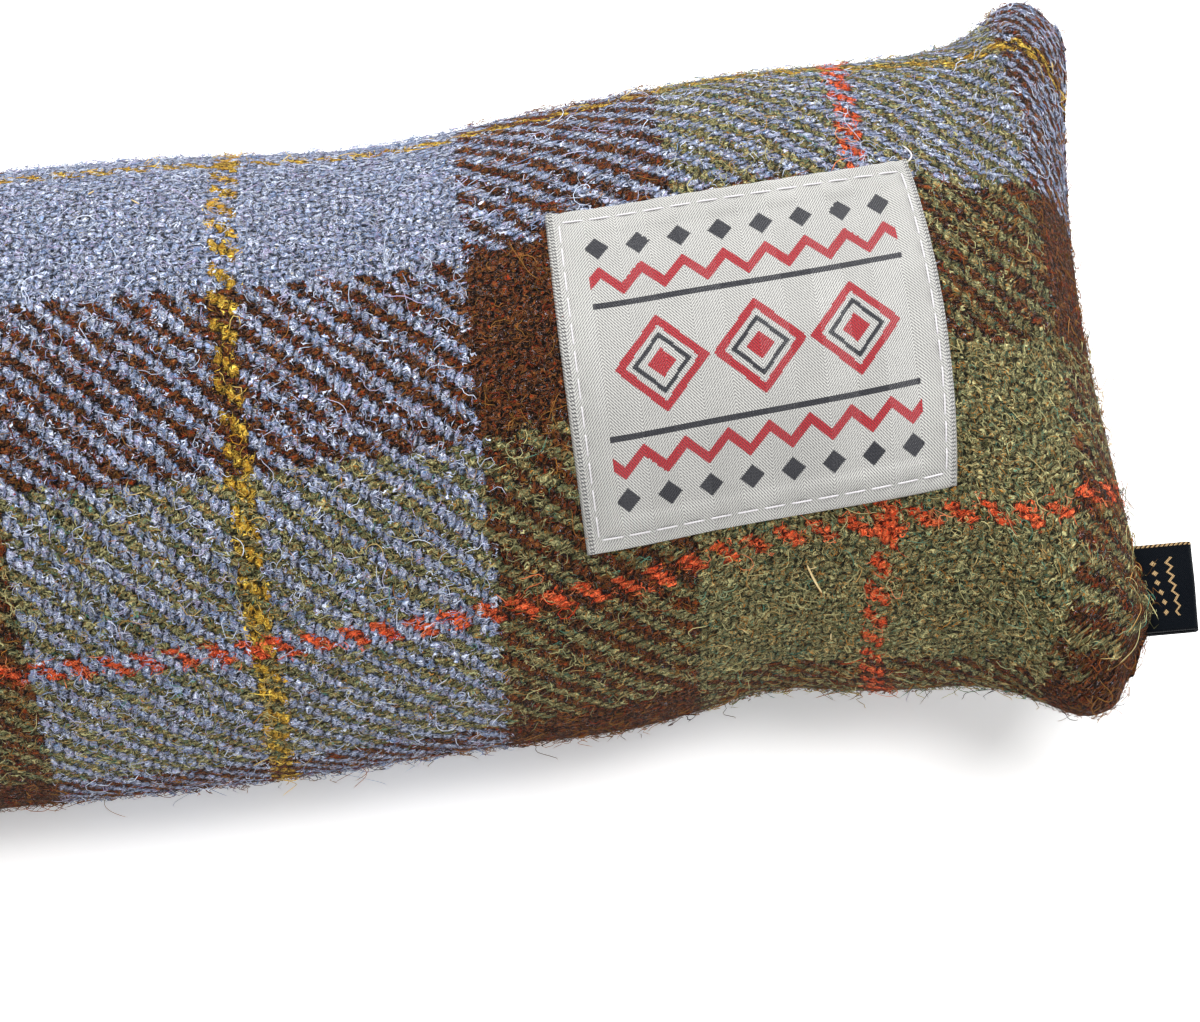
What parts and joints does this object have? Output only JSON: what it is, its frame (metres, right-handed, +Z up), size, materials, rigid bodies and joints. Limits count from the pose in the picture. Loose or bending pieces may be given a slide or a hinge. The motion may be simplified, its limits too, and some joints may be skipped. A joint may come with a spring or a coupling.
{
  "type": "draught excluder",
  "caption": "Long stuffed tube of checked wool tweed with flat-sewn ends, a sewn woven patch and a folded side tab; lies along the foot of a door to stop draughts.",
  "frame": {"origin": "centre of the underside on the surface it lies on, midway between the left end seam and the end of the side tab", "axes": "+X along the tube towards the end with the patch and the side tab, +Y towards the back, +Z up"},
  "size_m": [0.8724, 0.1099, 0.0813],
  "materials": {
    "tweed": "wool tweed, 2/2 twill, raised fibre, checked in blue, brown and green with yellow and orange lines",
    "patch": "satin label weave in silver grey, with red and navy figures",
    "tab": "close-woven navy tape with small gold figures"
  },
  "bodies": {
    "root": {"tweed_tube": "tweed", "woven_patch": "patch", "side_tab": "tab"}
  },
  "joints": []
}
